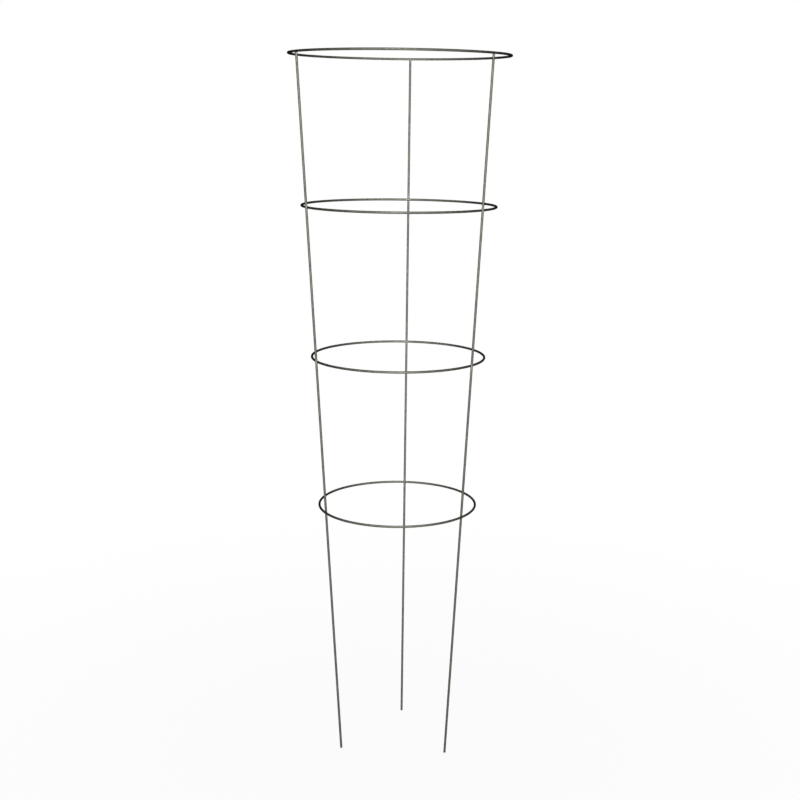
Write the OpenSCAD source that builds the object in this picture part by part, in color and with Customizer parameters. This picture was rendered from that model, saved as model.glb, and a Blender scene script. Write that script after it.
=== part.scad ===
// Conical tomato cage of welded steel wire, in millimetres.
// Three straight legs lean apart towards the top and carry four level rings.
// The feet stand on z = 0, the cage's axis is the z axis, and its front faces -y.

/* [Cage] */
// Overall height, from the feet to the top of the top ring
cage_height = 1372; // [1250:1:1500]
// Diameter of the circle through the leg centres at the top ring
top_spread = 408; // [340:1:480]
// Diameter of the circle through the leg centres at the ground
foot_spread = 243; // [180:1:300]
// Height of a leg's upper end above the middle of the top ring
leg_end_height = 0.5; // [0:0.1:1.4]

/* [Wire] */
// Diameter of the leg wire
leg_wire = 4.5; // [3:0.1:6]
// Diameter of the ring wire
ring_wire = 4.5; // [3:0.1:6]

/* [Rings] */
// Height of the middle of the upper ring above the ground
upper_ring_height = 1092; // [950:1:1200]
// Height of the middle of the lower ring above the ground
lower_ring_height = 802; // [650:1:900]
// Height of the middle of the bottom ring above the ground
bottom_ring_height = 504; // [300:1:600]
// Side of the legs on which the top ring lies
top_ring_side = 1; // [1:Outside, -1:Inside]
// Side of the legs on which the upper ring lies
upper_ring_side = -1; // [1:Outside, -1:Inside]
// Side of the legs on which the lower ring lies
lower_ring_side = -1; // [1:Outside, -1:Inside]
// Side of the legs on which the bottom ring lies
bottom_ring_side = 1; // [1:Outside, -1:Inside]

/* [Welds] */
// Depth by which the wires sink into each other at a crossing
set_down = 1.8; // [0.4:0.1:2.2]
// Width of the weld metal past the corners of a crossing
weld_collar = 1.2; // [1:0.1:2]
// Gap between the two ends of a ring, which its seam weld fills
seam_gap = 1; // [0.4:0.1:2]
// Height of a seam weld above the ring's wire
seam_height = 0.5; // [0.3:0.1:1.2]

/* [Hidden] */
wire_colour = [0.52, 0.52, 0.48];
weld_colour = [0.49, 0.49, 0.45];
wire_facets = 128;
ring_facets = 256;

// A leg's centre line passes through the ground circle and through the top ring's height
top_ring_height = cage_height - ring_wire / 2;
lean = atan((top_spread - foot_spread) / 2 / top_ring_height);
// The ends are cut square, so a leaning leg stands on the outer edge of its foot
foot_height = leg_wire / 2 * sin(lean);
leg_length = (top_ring_height + leg_end_height - foot_height) / cos(lean);

// Distances from the middle of a crossing to the centre lines of its two wires
leg_to_weld = (leg_wire - set_down) / 2;
ring_to_weld = (ring_wire - set_down) / 2;
// Half the width of each wire where the two meet, and the ball of metal that reaches past both
leg_half_contact = sqrt(pow(leg_wire / 2, 2) - pow(leg_to_weld, 2));
ring_half_contact = sqrt(pow(ring_wire / 2, 2) - pow(ring_to_weld, 2));
weld_radius = norm([leg_half_contact, ring_half_contact]) + weld_collar;
seam_radius = ring_wire / 2 + seam_height;
// Stretch of ring taken out of a weld's ball, as a multiple of its radius, to reach past both sides
ball_stretch = 2.4;

// Each leg is its name and the direction that it leans in
leg_spacing = 120;
back_leg_angle = 90;
LEGS = [
    ["front_left", back_leg_angle + leg_spacing],
    ["front_right", back_leg_angle - leg_spacing],
    ["back", back_leg_angle]
];

// Each ring is its name, its height, its side of the legs and the direction of its seam.
// A seam lies midway between the back leg and one front leg, on the left and right by turns.
left_seam_angle = back_leg_angle + leg_spacing / 2;
right_seam_angle = back_leg_angle - leg_spacing / 2;
RINGS = [
    ["top", top_ring_height, top_ring_side, left_seam_angle],
    ["upper", upper_ring_height, upper_ring_side, right_seam_angle],
    ["lower", lower_ring_height, lower_ring_side, left_seam_angle],
    ["bottom", bottom_ring_height, bottom_ring_side, right_seam_angle]
];

function name_of(piece) = piece[0];
function leg_angle(leg) = leg[1];
function ring_height(ring) = ring[1];
function ring_side(ring) = ring[2];
function seam_angle(ring) = ring[3];

function leg_node(leg) = str(name_of(leg), "_leg");
function ring_node(ring) = str(name_of(ring), "_ring");
function weld_node(ring, leg) = str(name_of(ring), "_ring_", name_of(leg), "_weld");
function seam_node(ring) = str(name_of(ring), "_ring_seam");

// Distance of a leg's centre line from the cage's axis at a height
function leg_radius(height) = foot_spread / 2 + height * tan(lean);

// Distance from the cage's axis of the middle of a crossing, which lies between leg and ring
function weld_centre_radius(ring) =
    leg_radius(ring_height(ring)) + ring_side(ring) * leg_to_weld / cos(lean);

// Distance of a ring's centre line from the cage's axis
function ring_radius(ring) = weld_centre_radius(ring) + ring_side(ring) * ring_to_weld / cos(lean);

// Angle at the cage's axis across a stretch of a ring
function stretch_angle(ring, stretch) = 2 * asin(stretch / 2 / ring_radius(ring));

// Height of the middle of a weld, which stays below the top of the cage
function weld_height(ring) = min(ring_height(ring), cage_height - weld_radius);

// Straight round wire along a leg, cut square at its foot and at its upper end
module straight_wire(leg) {
    rotate(leg_angle(leg))
    translate([leg_radius(foot_height), 0, foot_height])
    rotate([0, lean, 0])
    cylinder(h = leg_length, d = leg_wire, $fn = wire_facets);
}

// Round wire bent along a ring, from a direction through an angle
module bent_wire(ring, start, sweep) {
    translate([0, 0, ring_height(ring)])
    rotate(start)
    rotate_extrude(angle = sweep, $fn = ring_facets)
    translate([ring_radius(ring), 0])
    circle(d = ring_wire, $fn = wire_facets);
}

// Ring of wire, open at the gap that its seam fills
module open_ring(ring) {
    gap = stretch_angle(ring, seam_gap);
    bent_wire(ring, seam_angle(ring) + gap / 2, 360 - gap);
}

// One leg of the cage
module wire_leg(leg) {
    color(wire_colour)
    straight_wire(leg);
}

// Rolled ring of wire, with a saddle pressed into it by each leg
module wire_ring(ring) {
    color(wire_colour)
    difference() {
        open_ring(ring);
        for (leg = LEGS)
            straight_wire(leg);
    }
}

// Metal squeezed out round a crossing: a ball with the two wires taken out of it
module crossing_weld(ring, leg) {
    reach = stretch_angle(ring, ball_stretch * weld_radius);
    color(weld_colour)
    difference() {
        rotate(leg_angle(leg))
        translate([weld_centre_radius(ring), 0, weld_height(ring)])
        sphere(r = weld_radius, $fn = wire_facets);
        straight_wire(leg);
        bent_wire(ring, leg_angle(leg) - reach / 2, reach);
    }
}

// Bead that fills the gap between a ring's ends and stands a little proud of the wire
module ring_seam(ring) {
    color(weld_colour)
    difference() {
        rotate(seam_angle(ring))
        translate([ring_radius(ring), 0, ring_height(ring)])
        sphere(r = seam_radius, $fn = wire_facets);
        open_ring(ring);
    }
}

for (leg = LEGS)
    wire_leg(leg);
for (ring = RINGS)
    wire_ring(ring);
for (ring = RINGS)
    for (leg = LEGS)
        crossing_weld(ring, leg);
for (ring = RINGS)
    ring_seam(ring);
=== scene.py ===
# %% [markdown]
# # A welded wire tomato cage
# The cage is three straight legs and four rings of one steel wire, welded where they cross.
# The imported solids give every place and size, so the first step loads them and keeps their box.
# Everything made later is measured from them, in metres, in the same frame.

# %% Load the frame
import math

import bpy
import numpy as np
from mathutils import Matrix, Vector


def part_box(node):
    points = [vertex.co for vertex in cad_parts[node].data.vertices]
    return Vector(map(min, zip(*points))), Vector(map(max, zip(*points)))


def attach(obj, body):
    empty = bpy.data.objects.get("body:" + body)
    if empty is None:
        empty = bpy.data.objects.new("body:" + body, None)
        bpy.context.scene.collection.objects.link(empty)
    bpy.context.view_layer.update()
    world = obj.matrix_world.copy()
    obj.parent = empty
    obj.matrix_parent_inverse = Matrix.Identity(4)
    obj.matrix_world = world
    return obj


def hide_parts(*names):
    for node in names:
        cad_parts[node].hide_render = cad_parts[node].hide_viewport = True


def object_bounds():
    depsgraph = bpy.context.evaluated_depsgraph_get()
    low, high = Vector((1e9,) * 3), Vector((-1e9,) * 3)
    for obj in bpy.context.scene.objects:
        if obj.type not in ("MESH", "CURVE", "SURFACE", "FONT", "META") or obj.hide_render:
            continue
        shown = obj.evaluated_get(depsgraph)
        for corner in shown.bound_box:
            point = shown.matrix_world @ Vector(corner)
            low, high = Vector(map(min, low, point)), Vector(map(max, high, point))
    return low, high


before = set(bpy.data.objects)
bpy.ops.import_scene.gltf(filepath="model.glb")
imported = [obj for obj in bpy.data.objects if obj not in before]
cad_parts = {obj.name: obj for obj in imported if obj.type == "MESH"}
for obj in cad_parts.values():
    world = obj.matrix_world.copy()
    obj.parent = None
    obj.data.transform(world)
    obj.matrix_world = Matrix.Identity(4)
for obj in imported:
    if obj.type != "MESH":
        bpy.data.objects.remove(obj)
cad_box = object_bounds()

scene = bpy.context.scene
scene.view_settings.view_transform = "Standard"
MM = 0.001
print("solids loaded:", len(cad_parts))

# %% [markdown]
# ## Measure the wires
# A leg's solid is a plain cylinder, so its corner points lie on its two end circles, and the mean
# of each circle is an end of the leg's centre line. A ring's solid lies level round the z axis, so
# its height is the middle of its box, its wire is as thick as its box is high, and its radius is
# its widest point less half a wire. Measuring keeps this file true if the solids change size.

# %% Measure the wires
LEG_NAMES = ["front_left", "front_right", "back"]
RING_NAMES = ["top", "upper", "lower", "bottom"]


def node_points(name):
    """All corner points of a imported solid, as an array with one row per point."""
    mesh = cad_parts[name].data
    flat = np.empty(len(mesh.vertices) * 3)
    mesh.vertices.foreach_get("co", flat)
    return flat.reshape(-1, 3)


def leg_ends(points):
    """The middle of the lower end circle and of the upper one, split at half the leg's height."""
    low = points[:, 2] < points[:, 2].mean()
    return points[low].mean(axis=0), points[~low].mean(axis=0)


def ring_sizes(points):
    """Height, radius and wire radius of a level ring round the z axis."""
    bottom, top = points[:, 2].min(), points[:, 2].max()
    wire = (top - bottom) / 2
    reach = np.hypot(points[:, 0], points[:, 1]).max()
    return (bottom + top) / 2, reach - wire, wire


legs = {name: leg_ends(node_points(name + "_leg")) for name in LEG_NAMES}
rings = {name: ring_sizes(node_points(name + "_ring")) for name in RING_NAMES}
wire_radius = rings["top"][2]
for name, (height, radius, wire) in rings.items():
    print(f"{name} ring: height {height:.4f} m, radius {radius:.4f} m, wire {2 * wire / MM:.2f} mm")

# %% [markdown]
# ## Set up the camera
# The photograph looks at the cage from about the height of its upper third, tilted down a little.
# Tracing the wires in the picture and solving for a pinhole camera gave the numbers below. The tilt
# of the rings changes with their height, which says that the picture was cropped a little to one
# side, so the lens axis falls right of its middle and the camera needs a small shift. Blender gives
# a lens in millimetres on a 36 mm sensor, so the focal length in pixels of the 800-pixel picture is
# turned into that. A camera looks along its own -Z, which sets the columns of its matrix.

# %% Set up the camera
CAMERA_AZIMUTH = math.radians(5.729)
CAMERA_DISTANCE = 2.5007
CAMERA_HEIGHT = 1.2599
CAMERA_TURN = math.radians(1.556)
CAMERA_TILT = math.radians(-12.294)
CAMERA_ROLL = math.radians(0.701)
FOCAL_PIXELS = 1305.3
LENS_AXIS_PIXELS = 32.6
IMAGE_PIXELS = 800
SENSOR_MM = 36.0

heading = CAMERA_TURN - CAMERA_AZIMUTH
right = Vector((math.cos(heading), -math.sin(heading), 0.0))
forward = Vector((
    math.sin(heading) * math.cos(CAMERA_TILT),
    math.cos(heading) * math.cos(CAMERA_TILT),
    math.sin(CAMERA_TILT),
))
up = right.cross(forward)
rolled_right = math.cos(CAMERA_ROLL) * right + math.sin(CAMERA_ROLL) * up
rolled_up = rolled_right.cross(forward)
place = Vector((
    CAMERA_DISTANCE * math.sin(CAMERA_AZIMUTH),
    -CAMERA_DISTANCE * math.cos(CAMERA_AZIMUTH),
    CAMERA_HEIGHT,
))

camera_data = bpy.data.cameras.new("photo_camera")
camera_data.sensor_width = SENSOR_MM
camera_data.lens = FOCAL_PIXELS / IMAGE_PIXELS * SENSOR_MM
camera_data.shift_x = -LENS_AXIS_PIXELS / IMAGE_PIXELS
camera = bpy.data.objects.new("photo_camera", camera_data)
scene.collection.objects.link(camera)
turn = Matrix((rolled_right, rolled_up, -forward)).transposed()
camera.matrix_world = Matrix.Translation(place) @ turn.to_4x4()
scene.camera = camera
print(f"camera: {camera_data.lens:.1f} mm lens at {tuple(round(v, 3) for v in place)}")

# %% [markdown]
# ## Helpers for materials
# A shader tree is nodes, settings and links. One small function adds any node: settings are its
# Python properties, and each input is either a plain value or another node's output to link.
# Colours are written as sRGB hex, as a colour picker shows them, and turned to linear light here.

# %% Helpers for materials


def linear(hex_colour):
    """An sRGB hex colour as linear red, green, blue and alpha, by the sRGB standard's own curve."""
    srgb = np.array([int(hex_colour[i:i + 2], 16) / 255 for i in (1, 3, 5)])
    light = np.where(srgb <= 0.04045, srgb / 12.92, ((srgb + 0.055) / 1.055) ** 2.4)
    return (*light.tolist(), 1.0)


def add_node(tree, kind, inputs=None, **settings):
    """Adds a node, sets its properties, and fills its inputs with values or links."""
    node = tree.nodes.new(kind)
    for name, value in settings.items():
        setattr(node, name, value)
    for name, value in (inputs or {}).items():
        if isinstance(value, bpy.types.NodeSocket):
            tree.links.new(value, node.inputs[name])
        else:
            node.inputs[name].default_value = value
    return node


def new_material(name):
    """An empty material with its output node, and the tree to fill."""
    material = bpy.data.materials.new(name)
    material.use_nodes = True
    material.node_tree.nodes.clear()
    output = add_node(material.node_tree, "ShaderNodeOutputMaterial")
    return material, material.node_tree, output


def set_stops(ramp_node, stops):
    """Gives a colour ramp its stops, each a position and an sRGB hex colour."""
    elements = ramp_node.color_ramp.elements
    while len(elements) < len(stops):
        elements.new(0.5)
    for element, (position, hex_colour) in zip(elements, stops):
        element.position = position
        element.color = linear(hex_colour)


print(f"mid grey #808080 is {linear('#808080')[0]:.3f} in linear light")

# %% [markdown]
# ## How metallic the zinc looks
# New zinc is bright metal, but in the weather it dulls to a thin grey crust, and the metal shines
# through that. A glancing look meets more of the crust and less of the metal, so the gloss fades
# out there. Here it fades far quicker than a crust would make it, and that is painted shade: a wire
# has a light middle and dark edges, and the ends of the rings go nearly black. The Layer Weight node
# tells how far a surface is turned from the view: its Facing value is one less the cosine of that
# angle. A power of the cosine fades softly, where a plain ramp would leave a hard stripe along the wire.

# %% How metallic the zinc looks
METAL_SHARE = 0.95
DULL_AND_EDGE_SHADE_POWER = 5.0


def metal_share_with_painted_edge_shade(tree):
    """The share of bright metal: all of it face on, times a power of the cosine of the view's angle,
    which paints shade on the edges.
    """
    edge = add_node(tree, "ShaderNodeLayerWeight")
    cosine = add_node(tree, "ShaderNodeMath", {
        0: 1.0, 1: edge.outputs["Facing"]}, operation="SUBTRACT")
    fall = add_node(tree, "ShaderNodeMath", {
        0: cosine.outputs["Value"], 1: DULL_AND_EDGE_SHADE_POWER}, operation="POWER")
    share = add_node(tree, "ShaderNodeMath", {
        0: fall.outputs["Value"], 1: METAL_SHARE}, operation="MULTIPLY")
    return share.outputs["Value"]


for degrees in (0, 30, 60):
    cosine = math.cos(math.radians(degrees))
    print(f"metal share at {degrees} degrees: {METAL_SHARE * cosine ** DULL_AND_EDGE_SHADE_POWER:.2f}")

# %% [markdown]
# ## Galvanised wire
# The wire is mild steel drawn through a die, and the welded cage was dipped in zinc. Under its grey
# crust of zinc carbonate it is darker and rougher than clean zinc: the eye sees an olive grey with
# faint clouds, patches of zinc crystal, and fine lines along the wire from the die. Zinc that ran
# together at a crossing makes a lighter spot there, and its colour is light enough to be a painted
# highlight as well. The patterns read two values that the meshes carry: the place on the wire, and
# how near a crossing is. A pattern on plain object coordinates would cut across the wire, but one on
# its own place follows the bend.

# %% Galvanised wire
CLOUD_MM = 30.0
CLOUD_DETAIL = 3.0
# Die lines are finer than a pixel, and show only when the camera comes close
DIE_LINE_MM = 0.45
DIE_LINE_LENGTH_MM = 40.0
DIE_LINE_DETAIL = 2.0
DIE_LINE_TONE = 0.10
# Crystals on wire are about 1 mm across, and are drawn coarser, so that they show in the picture
CRYSTAL_MM = 4.0
CRYSTAL_TONE = 0.20
# Most values of a noise pattern lie in this span
NOISE_SPAN = {"From Min": 0.3, "From Max": 0.7}
ZINC_STOPS = [(0.30, "#86867C"), (0.50, "#8F8F83"), (0.70, "#98988C")]
# Zinc run together at a crossing, light enough to be a painted highlight there as well
POOLED_ZINC_AND_HIGHLIGHT = "#BEBEB2"
SMOOTH_ZINC = 0.36
ROUGH_ZINC = 0.42
RELIEF_STRENGTH = 0.35
RELIEF_DEPTH = 0.03 * MM


def galvanised_wire_material():
    """Dull zinc on drawn wire: faint clouds, lengthwise die lines, crystals, and light zinc at crossings
    that is partly a painted highlight.
    """
    material, tree, output = new_material("dull_dipped_zinc_on_drawn_wire")
    spot = add_node(tree, "ShaderNodeAttribute", attribute_name="wire_place")
    pool_and_highlight = add_node(tree, "ShaderNodeAttribute", attribute_name="zinc_pool_and_highlight")
    cloud = add_node(tree, "ShaderNodeTexNoise", {
        "Vector": spot.outputs["Vector"], "Scale": 1 / (CLOUD_MM * MM), "Detail": CLOUD_DETAIL})
    across = 1 / (DIE_LINE_MM * MM)
    along = 1 / (DIE_LINE_LENGTH_MM * MM)
    stretched = add_node(tree, "ShaderNodeMapping", {
        "Vector": spot.outputs["Vector"], "Scale": (across, across, along)})
    lines = add_node(tree, "ShaderNodeTexNoise", {
        "Vector": stretched.outputs["Vector"], "Scale": 1.0, "Detail": DIE_LINE_DETAIL})
    crystals = add_node(tree, "ShaderNodeTexVoronoi", {
        "Vector": spot.outputs["Vector"], "Scale": 1 / (CRYSTAL_MM * MM)})
    crystal = add_node(tree, "ShaderNodeSeparateColor", {"Color": crystals.outputs["Color"]})

    zinc = add_node(tree, "ShaderNodeValToRGB", {"Fac": cloud.outputs["Fac"]})
    set_stops(zinc, ZINC_STOPS)
    crystal_tone = add_node(tree, "ShaderNodeMapRange", {
        "Value": crystal.outputs["Red"],
        "To Min": 1 - CRYSTAL_TONE, "To Max": 1 + CRYSTAL_TONE})
    line_tone = add_node(tree, "ShaderNodeMapRange", {
        "Value": lines.outputs["Fac"], **NOISE_SPAN,
        "To Min": 1 - DIE_LINE_TONE, "To Max": 1 + DIE_LINE_TONE})
    tone = add_node(tree, "ShaderNodeMath", {
        0: crystal_tone.outputs["Result"], 1: line_tone.outputs["Result"]}, operation="MULTIPLY")
    toned = add_node(tree, "ShaderNodeVectorMath", {
        0: zinc.outputs["Color"], "Scale": tone.outputs["Value"]}, operation="SCALE")
    # Near a crossing the colour goes to the light zinc, which is partly a painted highlight
    # A colour mix has its factor at input 0, its two colours at 6 and 7, and its result at output 2
    colour = add_node(tree, "ShaderNodeMix", {
        0: pool_and_highlight.outputs["Fac"], 6: toned.outputs["Vector"], 7: linear(POOLED_ZINC_AND_HIGHLIGHT)}, data_type="RGBA")

    rough = add_node(tree, "ShaderNodeMapRange", {
        "Value": cloud.outputs["Fac"], **NOISE_SPAN, "To Min": SMOOTH_ZINC, "To Max": ROUGH_ZINC})
    relief = add_node(tree, "ShaderNodeMath", {
        0: lines.outputs["Fac"], 1: crystals.outputs["Distance"]}, operation="ADD")
    bump = add_node(tree, "ShaderNodeBump", {
        "Height": relief.outputs["Value"], "Strength": RELIEF_STRENGTH, "Distance": RELIEF_DEPTH})
    # The metallic share falls with the view's angle, which paints shade on the edges of the wire
    crust = add_node(tree, "ShaderNodeBsdfPrincipled", {
        "Base Color": colour.outputs[2], "Roughness": rough.outputs["Result"],
        "Normal": bump.outputs["Normal"],
        "Metallic": metal_share_with_painted_edge_shade(tree), "Specular IOR Level": 0.0})
    tree.links.new(crust.outputs["BSDF"], output.inputs["Surface"])
    return material


galvanised_wire = galvanised_wire_material()
print("material:", galvanised_wire.name)

# %% [markdown]
# ## Weld metal
# A resistance weld squeezes a little molten steel out between the wires. It went through the same
# zinc bath, so it has almost the wire's colour. Its crust is rougher and blotchier, because the
# steel under it is lumpy. The blotches are about a millimetre, and they read object coordinates.

# %% Weld metal
# Blotches and grit are finer than a pixel, and show only when the camera comes close
BLOTCH_MM = 1.5
BLOTCH_DETAIL = 3.0
GRIT_MM = 0.5
GRIT_DETAIL = 2.0
WELD_STOPS = [(0.35, "#828076"), (0.50, "#95958B"), (0.68, "#A8A69C")]
SMOOTH_WELD = 0.44
ROUGH_WELD = 0.56
GRIT_STRENGTH = 0.5
GRIT_DEPTH = 0.08 * MM


def weld_metal_material():
    """Zinc over lumpy weld steel: small blotches of light and dark grey on a gritty surface."""
    material, tree, output = new_material("dipped_zinc_on_weld_steel")
    spot = add_node(tree, "ShaderNodeTexCoord")
    blotch = add_node(tree, "ShaderNodeTexNoise", {
        "Vector": spot.outputs["Object"], "Scale": 1 / (BLOTCH_MM * MM), "Detail": BLOTCH_DETAIL})
    grit = add_node(tree, "ShaderNodeTexNoise", {
        "Vector": spot.outputs["Object"], "Scale": 1 / (GRIT_MM * MM), "Detail": GRIT_DETAIL})
    colour = add_node(tree, "ShaderNodeValToRGB", {"Fac": blotch.outputs["Fac"]})
    set_stops(colour, WELD_STOPS)
    rough = add_node(tree, "ShaderNodeMapRange", {
        "Value": grit.outputs["Fac"], **NOISE_SPAN, "To Min": SMOOTH_WELD, "To Max": ROUGH_WELD})
    bump = add_node(tree, "ShaderNodeBump", {
        "Height": grit.outputs["Fac"], "Strength": GRIT_STRENGTH, "Distance": GRIT_DEPTH})
    # The metallic share falls with the view's angle, which paints shade on the edges of the weld
    crust = add_node(tree, "ShaderNodeBsdfPrincipled", {
        "Base Color": colour.outputs["Color"], "Roughness": rough.outputs["Result"],
        "Normal": bump.outputs["Normal"],
        "Metallic": metal_share_with_painted_edge_shade(tree), "Specular IOR Level": 0.0})
    tree.links.new(crust.outputs["BSDF"], output.inputs["Surface"])
    return material


weld_metal = weld_metal_material()
print("material:", weld_metal.name)

# %% [markdown]
# ## From a grid of points to a mesh
# Every piece here is one surface on a grid: rows follow the piece's length, and columns go round it.
# Quads join neighbours in the grid. A ring joins its last row to its first, and any other piece is
# closed by a fan of triangles at a pole on each end. The faces are worked out as whole arrays, and
# wound so that they look outwards when columns turn right-handed about the direction of the rows.

# %% From a grid of points to a mesh


def grid_quads(rows, columns, closed_rows):
    """Corner numbers of the quads between neighbouring rows and columns, with columns closed."""
    joined_rows = rows if closed_rows else rows - 1
    row, column = np.meshgrid(np.arange(joined_rows), np.arange(columns), indexing="ij")
    next_row = (row + 1) % rows
    next_column = (column + 1) % columns
    corners = [row * columns + column, row * columns + next_column,
               next_row * columns + next_column, next_row * columns + column]
    return np.stack(corners, axis=-1).reshape(-1, 4)


def pole_fans(rows, columns):
    """Corner numbers of the triangles that join the first and last rows to the two poles."""
    column = np.arange(columns)
    next_column = (column + 1) % columns
    first_pole = np.full(columns, rows * columns)
    last_row = (rows - 1) * columns
    start = np.stack([first_pole, next_column, column], axis=-1)
    end = np.stack([first_pole + 1, last_row + column, last_row + next_column], axis=-1)
    return np.concatenate([start, end])


def capped_faces(rows, columns):
    """All faces of a tube that a fan closes at each end: its quads, and then its two fans."""
    quads = grid_quads(rows, columns, closed_rows=False)
    return quads.tolist() + pole_fans(rows, columns).tolist()


def with_poles(grid, first_pole, last_pole):
    """A grid's values as one list, followed by the values at its two poles."""
    return np.concatenate([grid.reshape(-1, grid.shape[-1]), [first_pole], [last_pole]])


print("a tube of 3 rows and 8 columns has", len(capped_faces(3, 8)), "faces")

# %% [markdown]
# ## A piece of the cage
# A finished mesh becomes an object that rides on the cage's one body, takes the place of its imported
# solid, which is hidden, and takes one of the two finishes. A wire's mesh also carries the two values
# that its finish reads, one for each point.

# %% A piece of the cage


def add_piece(name, points, faces, material, node, places=None, pools_and_highlights=None):
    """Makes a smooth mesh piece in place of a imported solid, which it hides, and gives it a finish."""
    mesh = bpy.data.meshes.new(name)
    mesh.from_pydata(points.tolist(), [], faces)
    mesh.shade_smooth()
    if places is not None:
        place_values = mesh.attributes.new("wire_place", "FLOAT_VECTOR", "POINT")
        place_values.data.foreach_set("vector", places.ravel())
        pool_and_highlight_values = mesh.attributes.new("zinc_pool_and_highlight", "FLOAT", "POINT")
        pool_and_highlight_values.data.foreach_set("value", pools_and_highlights.ravel())
    mesh.materials.append(material)
    piece = bpy.data.objects.new(name, mesh)
    scene.collection.objects.link(piece)
    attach(piece, "root")
    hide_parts(node)
    return piece


print("finishes to choose from:", galvanised_wire.name, "and", weld_metal.name)

# %% [markdown]
# ## Legs
# A leg is a straight length of wire, cropped square at both ends by a shear, which leaves a slightly
# rounded edge. That is a surface of revolution: a profile of radius against length, turned about the
# leg's centre line. The four crossings are found on the line, for the light zinc there, which is
# partly a painted highlight.

# %% Legs
FULL_TURN = 2 * math.pi
LEG_COLUMNS = 32
LEG_ROWS = 160
CUT_EDGE = 0.3 * MM
CUT_EDGE_STEPS = 6
POOL_AND_HIGHLIGHT_REACH = 4.0 * MM


def unit(vector):
    """The vector of length one in the same direction."""
    return vector / np.linalg.norm(vector)


def directions(count):
    """Angles in even steps round a full turn."""
    return np.linspace(0, FULL_TURN, count, endpoint=False)


def pool_and_highlight_amount(distances):
    """How much light zinc, partly a painted highlight, lies near a weld, falling as a bell curve of the
    distance to it.
    """
    return np.exp(-(distances / POOL_AND_HIGHLIGHT_REACH) ** 2)


def cropped_profile(length):
    """Radius and length along a cropped wire: a quarter-round edge, the straight run, another edge."""
    bend = np.linspace(0, math.pi / 2, CUT_EDGE_STEPS)
    edge_radius = wire_radius - CUT_EDGE * (1 - np.sin(bend))
    edge_along = CUT_EDGE * (1 - np.cos(bend))
    run = np.linspace(CUT_EDGE, length - CUT_EDGE, LEG_ROWS)[1:-1]
    radius = np.concatenate([edge_radius, np.full(run.size, wire_radius), edge_radius[::-1]])
    along = np.concatenate([edge_along, run, length - edge_along[::-1]])
    return radius, along


def add_leg(name, foot, head):
    """A cropped wire from foot to head: the profile turned about the line between them."""
    length = np.linalg.norm(head - foot)
    direction = unit(head - foot)
    side = unit(np.cross([0.0, 0.0, 1.0], direction))
    other = np.cross(direction, side)
    radius, along = cropped_profile(length)
    angle = directions(LEG_COLUMNS)
    x = radius[:, None] * np.cos(angle)
    y = radius[:, None] * np.sin(angle)
    z = np.broadcast_to(along[:, None], x.shape)
    grid = foot + x[..., None] * side + y[..., None] * other + z[..., None] * direction
    places = np.stack([x, y, z], axis=-1)
    crossings = np.array([(height - foot[2]) / direction[2] for height, _, _ in rings.values()])
    nearest = np.abs(along[:, None] - crossings).min(axis=1)
    pools_and_highlights = np.broadcast_to(pool_and_highlight_amount(nearest)[:, None], x.shape)[..., None]
    return add_piece(
        name + "_leg_wire", with_poles(grid, foot, head), capped_faces(*x.shape),
        galvanised_wire, name + "_leg",
        with_poles(places, (0, 0, 0), (0, 0, length)), with_poles(pools_and_highlights, pools_and_highlights[0, 0], pools_and_highlights[-1, 0]))


for name, (foot, head) in legs.items():
    piece = add_leg(name, foot, head)
    print(piece.name, len(piece.data.polygons), "faces")

# %% [markdown]
# ## Steps round a ring
# A ring is plain for most of its length, and has its detail at its three legs and at its butt weld.
# Even steps that suit the detail would waste faces everywhere else, so the rows along a ring are an
# even spacing with finer stretches added round those four directions.

# %% Steps round a ring
RING_ROWS = 420
FINE_REACH = 4.0 * MM
FINE_STEPS = 33
ANGLE_DIGITS = 7


def seam_angle(name):
    """Direction of a ring's butt weld, from the middle of its solid's box."""
    low, high = (np.array(corner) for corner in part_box(name + "_ring_seam"))
    middle = (low + high) / 2
    return math.atan2(middle[1], middle[0])


def leg_angle(name):
    """Direction in which a leg leans out from the axis."""
    head = legs[name][1]
    return math.atan2(head[1], head[0])


def ring_angles(radius, start, special):
    """Turns from the start round the ring: even steps, with fine steps near each special direction."""
    even = directions(RING_ROWS)
    offsets = np.linspace(-FINE_REACH, FINE_REACH, FINE_STEPS) / radius
    fine = (np.array(special)[:, None] - start + offsets).ravel() % FULL_TURN
    return np.unique(np.concatenate([even, fine]).round(ANGLE_DIGITS))


for name in RING_NAMES:
    print(f"{name} ring seam at {math.degrees(seam_angle(name)):.1f} degrees")

# %% [markdown]
# ## Rings
# A ring is a torus: a circle of wire carried round the cage's axis. At each leg the welding press
# sank the hot wires into each other, so the ring has a saddle there. The saddle is made by moving
# every ring point that falls inside a leg straight out to the leg's surface, which leaves the points
# of the grid in order and the mesh closed, as a Boolean cut might not.

# %% Rings
RING_COLUMNS = 28
SADDLE_GAP = 0.01 * MM
# Keeps the division safe for a point on the leg's centre line
LEAST_DISTANCE = SADDLE_GAP * MM


def press_saddle(points, foot, head):
    """Moves the points inside a leg's cylinder straight out from its centre line to its surface."""
    direction = unit(head - foot)
    along = (points - foot) @ direction
    out = points - foot - along[..., None] * direction
    distance = np.linalg.norm(out, axis=-1)
    surface = wire_radius + SADDLE_GAP
    inside = (distance < surface) & (along < np.linalg.norm(head - foot))
    push = np.where(inside, surface / np.maximum(distance, LEAST_DISTANCE) - 1, 0.0)
    return points + push[..., None] * out


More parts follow.
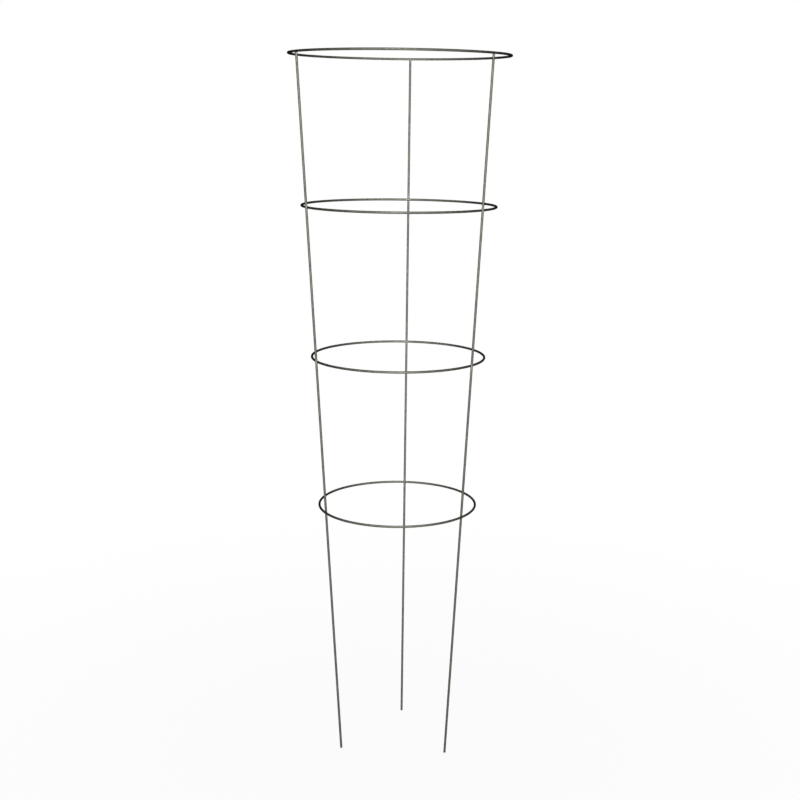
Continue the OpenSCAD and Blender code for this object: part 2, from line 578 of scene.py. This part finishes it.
def add_ring(name):
    """A torus of wire that starts at its seam, with a saddle pressed in at each leg."""
    height, radius, wire = rings[name]
    start = seam_angle(name)
    special = [leg_angle(leg) for leg in LEG_NAMES] + [start]
    turn = ring_angles(radius, start, special)
    angle = directions(RING_COLUMNS)
    out = np.stack([np.cos(start + turn), np.sin(start + turn), np.zeros_like(turn)], axis=-1)
    x = np.broadcast_to(wire * np.cos(angle), (turn.size, angle.size))
    y = np.broadcast_to(wire * np.sin(angle), (turn.size, angle.size))
    z = np.broadcast_to((radius * turn)[:, None], x.shape)
    grid = (radius + x)[..., None] * out[:, None, :]
    grid[..., 2] = height - y
    for foot, head in legs.values():
        grid = press_saddle(grid, foot, head)
    gaps = np.angle(np.exp(1j * (start + turn[:, None] - np.array(special)))) * radius
    pools_and_highlights = np.broadcast_to(pool_and_highlight_amount(np.abs(gaps).min(axis=1))[:, None], x.shape)
    return add_piece(
        name + "_ring_wire", grid.reshape(-1, 3), grid_quads(*x.shape, closed_rows=True).tolist(),
        galvanised_wire, name + "_ring",
        np.stack([x, y, z], axis=-1).reshape(-1, 3), pools_and_highlights.reshape(-1, 1))


for name in RING_NAMES:
    piece = add_ring(name)
    print(piece.name, len(piece.data.polygons), "faces")

# %% [markdown]
# ## Shape of a crossing weld
# At a crossing the squeezed-out metal fills the four corners between the wires. It is a small
# pillow between the two wires: its outline is a square with round corners, which reach out past the
# wires, its edge is round, and a few gentle waves make each one uneven. A plain ball would show
# more metal beside the wires than in the corners, where a real weld has it.

# %% Shape of a crossing weld
WELD_COLUMNS = 48
WELD_ROWS = 20
WELD_SPILL = 0.7 * MM
WELD_THICKNESS = 1.6 * MM
WELD_WAVE = 0.05
WELD_WAVE_COUNTS = (2, 3, 5)
WELD_SEED = 54
random = np.random.default_rng(WELD_SEED)


def lumps(turn, rise):
    """Uneven swelling: three waves round and across the weld with random phases."""
    phases = random.uniform(0, FULL_TURN, len(WELD_WAVE_COUNTS))
    waves = [
        np.sin(count * turn + phase) * np.cos(rise)
        for count, phase in zip(WELD_WAVE_COUNTS, phases)]
    return 1 + WELD_WAVE * sum(waves)


def pillow(corner, room):
    """A pillow's points along the ring, up the leg and through the crossing: a superellipse of the
    fourth power that passes the corner distance on its diagonals, times the cosine of the rise for a
    round edge, and scaled down above the middle to fit the room up the leg."""
    turn = directions(WELD_COLUMNS)
    rise = np.linspace(-math.pi / 2, math.pi / 2, WELD_ROWS + 2)[1:-1, None]
    outline = corner * (2 * np.cos(turn) ** 4 + 2 * np.sin(turn) ** 4) ** -0.25
    swell = lumps(turn, rise)
    x = outline * np.cos(rise) * np.cos(turn) * swell
    y = outline * np.cos(rise) * np.sin(turn) * swell
    y = np.where(y > 0, y * min(1.0, room / y.max()), y)
    z = WELD_THICKNESS * np.sin(rise) * np.ones_like(turn)
    return x, y, z


print(f"weld pillow: {2 * WELD_THICKNESS / MM:.1f} mm thick, {WELD_SPILL / MM:.1f} mm past the corners")

# %% [markdown]
# ## Crossing welds
# The pillow is laid into each of the twelve crossings, midway between the two centre lines, in the
# frame of the ring's direction and the leg's. Most of it lies inside the wires, where it joins them.
# A leg ends inside the top ring, so the pillow there is cut down to the height of the leg's end, and
# runs over it.

# %% Crossing welds


def add_crossing_weld(ring, leg):
    """A pillow at a crossing, as wide as the wires' contact, turned to the ring and the leg."""
    height, radius, _ = rings[ring]
    foot, head = legs[leg]
    up_leg = unit(head - foot)
    on_leg = foot + up_leg * (height - foot[2]) / up_leg[2]
    out = np.array([math.cos(leg_angle(leg)), math.sin(leg_angle(leg)), 0.0])
    on_ring = radius * out + [0.0, 0.0, height]
    middle = (on_leg + on_ring) / 2
    tangent = unit(np.cross(up_leg, out))
    normal = np.cross(tangent, up_leg)
    contact = math.sqrt(wire_radius ** 2 - (np.linalg.norm(on_ring - on_leg) / 2) ** 2)
    corner = math.sqrt(2) * contact + WELD_SPILL
    x, y, z = pillow(corner, np.linalg.norm(head - on_leg) + WELD_SPILL)
    grid = middle + x[..., None] * tangent + y[..., None] * up_leg + z[..., None] * normal
    grid[..., 2] = np.minimum(grid[..., 2], cad_box[1][2])
    poles = [middle - WELD_THICKNESS * normal, middle + WELD_THICKNESS * normal]
    name = f"{ring}_ring_{leg}_weld"
    return add_piece(
        name + "_metal", with_poles(grid, *poles), capped_faces(*x.shape),
        weld_metal, name)


for ring in RING_NAMES:
    for leg in LEG_NAMES:
        piece = add_crossing_weld(ring, leg)
    print(ring, "ring welds,", len(piece.data.polygons), "faces each")

# %% [markdown]
# ## Ring seams
# Each ring is closed by pressing its two hot ends together, which pushes up a low collar of metal.
# That is a short tube along the ring whose radius follows a bell curve, with a thin raised line
# in its middle. Its ends dip just below the wire's surface, so they need no joint.

# %% Ring seams
SEAM_COLUMNS = 32
SEAM_ROWS = 41
SEAM_HALF_LENGTH = 3.0 * MM
SEAM_HEIGHT = 0.32 * MM
SEAM_WIDTH = 1.3 * MM
SEAM_SINK = 0.06 * MM
FLASH_HEIGHT = 0.12 * MM
FLASH_WIDTH = 0.3 * MM
FLASH_WAVES = 3
FLASH_UNEVENNESS = 0.4


def add_ring_seam(name):
    """A collar round a ring's wire: a bell curve along the wire, plus a thin uneven line."""
    height, radius, wire = rings[name]
    start = seam_angle(name)
    along = np.linspace(-SEAM_HALF_LENGTH, SEAM_HALF_LENGTH, SEAM_ROWS)[:, None]
    angle = directions(SEAM_COLUMNS)
    uneven = 1 + FLASH_UNEVENNESS * np.sin(FLASH_WAVES * angle + random.uniform(0, FULL_TURN))
    collar = (SEAM_HEIGHT + SEAM_SINK) * np.exp(-(along / SEAM_WIDTH) ** 2)
    flash = FLASH_HEIGHT * uneven * np.exp(-(along / FLASH_WIDTH) ** 2)
    tube = wire - SEAM_SINK + collar + flash
    turn = start + along / radius
    reach = radius + tube * np.cos(angle)
    grid = np.stack([
        reach * np.cos(turn), reach * np.sin(turn), height - tube * np.sin(angle)], axis=-1)
    ends = [
        np.array([radius * math.cos(end), radius * math.sin(end), height])
        for end in (turn[0, 0], turn[-1, 0])]
    return add_piece(
        name + "_ring_seam_metal", with_poles(grid, *ends), capped_faces(*tube.shape),
        weld_metal, name + "_ring_seam")


for name in RING_NAMES:
    piece = add_ring_seam(name)
    print(piece.name, len(piece.data.polygons), "faces")

# %% [markdown]
# ## White surroundings
# The photograph has a plain white background. The world is white to the camera and to reflections,
# so the metal mirrors the same white, and almost dark as a light for anything else, so that the
# sides of the rings can fall into the dark. The Light Path node tells these rays apart.

# %% White surroundings
WHITE = "#FFFFFF"
AMBIENT = 0.005


def seen_directly(tree):
    """One where a ray comes from the camera, a reflection or a clear material, zero elsewhere."""
    path = add_node(tree, "ShaderNodeLightPath")
    glossy = add_node(tree, "ShaderNodeMath", {
        0: path.outputs["Is Camera Ray"], 1: path.outputs["Is Glossy Ray"]}, operation="MAXIMUM")
    clear = add_node(tree, "ShaderNodeMath", {
        0: glossy.outputs["Value"], 1: path.outputs["Is Transmission Ray"]}, operation="MAXIMUM")
    return clear.outputs["Value"]


def light_world():
    """White to direct view, and a weak even light otherwise."""
    world = bpy.data.worlds.new("white_studio")
    scene.world = world
    world.use_nodes = True
    tree = world.node_tree
    tree.nodes.clear()
    strength = add_node(tree, "ShaderNodeMapRange", {
        "Value": seen_directly(tree), "To Min": AMBIENT, "To Max": 1.0})
    background = add_node(tree, "ShaderNodeBackground", {
        "Color": linear(WHITE), "Strength": strength.outputs["Result"]})
    add_node(tree, "ShaderNodeOutputWorld", {"Surface": background.outputs["Background"]})
    return world


print("surroundings:", light_world().name)

# %% [markdown]
# ## Floor
# The floor is a pale disc: near the cage it takes light and shadow, and towards its rim it fades to
# the same white as the surroundings, so that no edge shows. It is hidden from diffuse rays, so no
# light bounces from it onto the undersides of the wires.

# %% Floor
FLOOR_RADIUS = 3.0
FLOOR_COLUMNS = 64
FLOOR_PAINT = "#F2F2F0"
FLOOR_WHITE_SHARE = 0.96
FLOOR_WHITE_FROM = FLOOR_RADIUS * 0.6


def add_floor():
    """A flat disc at the level of the feet: a circle of points and a fan of triangles."""
    angle = directions(FLOOR_COLUMNS)
    rim = np.stack([np.cos(angle), np.sin(angle), np.zeros_like(angle)], axis=-1) * FLOOR_RADIUS
    points = np.concatenate([rim, [[0.0, 0.0, 0.0]]])
    column = np.arange(FLOOR_COLUMNS)
    middle = np.full(FLOOR_COLUMNS, FLOOR_COLUMNS)
    fan = np.stack([middle, column, (column + 1) % FLOOR_COLUMNS], axis=-1)
    mesh = bpy.data.meshes.new("studio_floor")
    mesh.from_pydata(points.tolist(), [], fan.tolist())
    floor = bpy.data.objects.new("studio_floor", mesh)
    scene.collection.objects.link(floor)
    floor.visible_diffuse = False
    return floor


def floor_material():
    """Matt pale paint that is mixed with plain white where it is seen directly, all white at the rim."""
    material, tree, output = new_material("matt_pale_floor_paint")
    spot = add_node(tree, "ShaderNodeTexCoord")
    distance = add_node(tree, "ShaderNodeVectorMath", {0: spot.outputs["Object"]}, operation="LENGTH")
    white = add_node(tree, "ShaderNodeMapRange", {
        "Value": distance.outputs["Value"], "From Max": FLOOR_WHITE_FROM, "To Min": FLOOR_WHITE_SHARE},
        interpolation_type="SMOOTHSTEP")
    share = add_node(tree, "ShaderNodeMath", {
        0: white.outputs["Result"], 1: seen_directly(tree)}, operation="MULTIPLY")
    paint = add_node(tree, "ShaderNodeBsdfDiffuse", {"Color": linear(FLOOR_PAINT)})
    glow = add_node(tree, "ShaderNodeEmission", {"Color": linear(WHITE), "Strength": 1.0})
    mixed = add_node(tree, "ShaderNodeMixShader", {
        0: share.outputs["Value"], 1: paint.outputs["BSDF"], 2: glow.outputs["Emission"]})
    tree.links.new(mixed.outputs["Shader"], output.inputs["Surface"])
    return material


floor = add_floor()
floor.data.materials.append(floor_material())
print(f"floor: a disc of {FLOOR_RADIUS} m radius")

# %% [markdown]
# ## Lamps
# A metal wire is lit by what it mirrors, and here that is the white surroundings, so its colour shows
# about as it is written and the lamps only shape it. In the photograph the legs are lightest at the
# top and darken towards their feet, and the ends of the rings, which run along the view, are nearly
# black. So the main lamp is a tall soft panel behind the camera and a little above it. A second,
# lower panel opposite does the same for a view from behind, where it can't light the upper faces of
# the rings. Both are weak and in line with the camera's view, because a strong lamp, or one at the
# side, would light the ends of the rings.

# %% Lamps
LAMP_DISTANCE = 3.0
LAMP_WIDTH = 0.7
LAMP_TARGET = Vector((0.0, 0.0, 0.9))


def add_panel(name, azimuth, height, tall, watts):
    """A soft panel lamp, as tall as is asked, that faces the cage from an azimuth and a height."""
    data = bpy.data.lights.new(name, "AREA")
    data.shape = "RECTANGLE"
    data.size = LAMP_WIDTH
    data.size_y = tall
    data.energy = watts
    lamp = bpy.data.objects.new(name, data)
    scene.collection.objects.link(lamp)
    lamp.location = (LAMP_DISTANCE * math.sin(azimuth), -LAMP_DISTANCE * math.cos(azimuth), height)
    lamp.rotation_euler = (LAMP_TARGET - lamp.location).to_track_quat("-Z", "Y").to_euler()


add_panel("front_panel", CAMERA_AZIMUTH, height=1.5, tall=1.8, watts=14.0)
add_panel("back_panel", CAMERA_AZIMUTH + math.pi, height=0.5, tall=0.8, watts=10.0)
